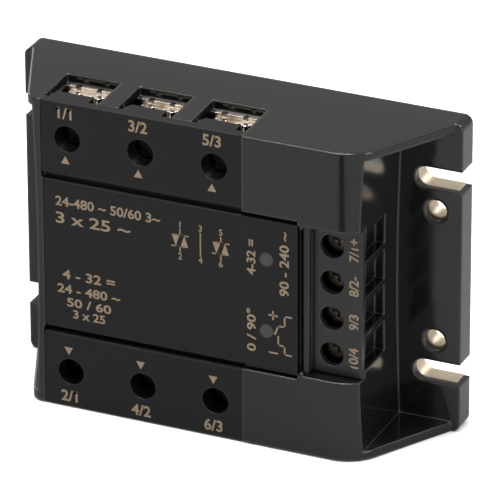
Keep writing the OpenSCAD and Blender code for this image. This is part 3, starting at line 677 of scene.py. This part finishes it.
def buildFloor():
    half = stageLook["size"] / 2
    corners = [(-half, -half, cadLow.z), (half, -half, cadLow.z), (half, half, cadLow.z),
               (-half, half, cadLow.z)]
    mesh = bpy.data.meshes.new("floor")
    mesh.from_pydata(corners, [], [(0, 1, 2, 3)])
    floor = bpy.data.objects.new("floor", mesh)
    bpy.context.scene.collection.objects.link(floor)
    paper = {"Roughness": stageLook["roughness"], "Specular IOR Level": stageLook["specular"]}
    material, tree, surface = newMaterial("floorPaper", paper)
    seen = addNode(tree, "ShaderNodeLightPath")
    place = addNode(tree, "ShaderNodeTexCoord")
    parts = addNode(tree, "ShaderNodeSeparateXYZ")
    wire(tree, place, "Object", parts, "Vector")
    # reflections alone see a floor painted greyer and a painted dark strip well ahead of the right side:
    # painted shade laid into the object's reflections, while the camera sees the plain floor
    ahead = [cadLow.y - distance for distance in stageLook["stripAhead"]]
    left = ramp(tree, *stageLook["stripLeft"])
    right = ramp(tree, *stageLook["stripRight"])
    front = ramp(tree, *ahead)
    for axis, edge in (("X", left), ("X", right), ("Y", front)):
        wire(tree, parts, axis, edge, "Value")
    across = multiply(tree, left, "Result", right, "Result")
    strip = multiply(tree, across, 0, front, "Result")
    paintedReflection = mixColours(tree, stageLook["reflectedFloorShade"], stageLook["shadeStripColour"], strip, 0)
    tone = mixColours(tree, stageLook["colour"], paintedReflection, seen, "Is Glossy Ray")
    wire(tree, tone, 2, surface, "Base Color")
    mesh.materials.append(material)


buildFloor()

world = bpy.data.worlds.new("studio")
bpy.context.scene.world = world
world.use_nodes = True
sky = world.node_tree.nodes["Background"]
sky.inputs["Color"].default_value = stageLook["skyColour"]
sky.inputs["Strength"].default_value = stageLook["skyStrength"]

# places and aims in metres; size is wide by high, power in watts
lamps = {
    "overhead": {"place": (-0.1, -0.15, 1.1), "aim": (0, 0, 0), "size": (0.62, 0.42), "power": 17.0},
    "backLeft": {"place": (-1.0, 0.75, 0.55), "aim": (0, 0, 0.0), "size": (0.6, 0.5), "power": 3.0},
    "backRight": {"place": (0.75, 0.9, 1.0), "aim": (0.3, 0.5, 0.0), "size": (0.7, 0.7), "power": 14.0},
    "right": {"place": (1.1, -0.35, 0.3), "aim": (0, 0, 0.0), "size": (0.35, 0.9), "power": 5.0},
    "front": {"place": (-0.7, -1.2, 0.75), "aim": (0, 0, 0.0), "size": (0.7, 0.7), "power": 2.0},
}
for lampName, lamp in lamps.items():
    light = bpy.data.lights.new(lampName, "AREA")
    light.shape = "RECTANGLE"
    light.size, light.size_y = lamp["size"]
    light.energy = lamp["power"]
    lampObject = bpy.data.objects.new(lampName, light)
    lampObject.location = lamp["place"]
    towards = Vector(lamp["aim"]) - Vector(lamp["place"])
    lampObject.rotation_euler = towards.to_track_quat("-Z", "Y").to_euler()
    bpy.context.scene.collection.objects.link(lampObject)

cameraSetup = {"azimuth": 24.06, "elevation": 25.9, "roll": -0.2, "distance": 1.398, "lens": 443.2,
               "aim": (13.15 * mm, 0.0, 10.65 * mm), "sensor": 36.0, "clip": (0.05, 50.0)}


def placeCamera():
    camera = bpy.data.objects.new("camera", bpy.data.cameras.new("camera"))
    bpy.context.scene.collection.objects.link(camera)
    azimuth, elevation = math.radians(cameraSetup["azimuth"]), math.radians(cameraSetup["elevation"])
    back = Vector((math.sin(azimuth) * math.cos(elevation), -math.cos(azimuth) * math.cos(elevation),
                   math.sin(elevation)))
    aim = Vector(cameraSetup["aim"]) + Vector((0, cadLow.y, 0))  # on the plane of the front face
    roll = Matrix.Rotation(math.radians(cameraSetup["roll"]), 3, "Z")
    turn = (-back).to_track_quat("-Z", "Y").to_matrix() @ roll
    camera.matrix_world = Matrix.Translation(aim + back * cameraSetup["distance"]) @ turn.to_4x4()
    camera.data.sensor_width = cameraSetup["sensor"]
    camera.data.lens = cameraSetup["lens"]
    camera.data.clip_start, camera.data.clip_end = cameraSetup["clip"]
    bpy.context.scene.camera = camera


placeCamera()
bpy.context.scene.view_settings.view_transform = "Standard"
print("stage, lights and camera placed")
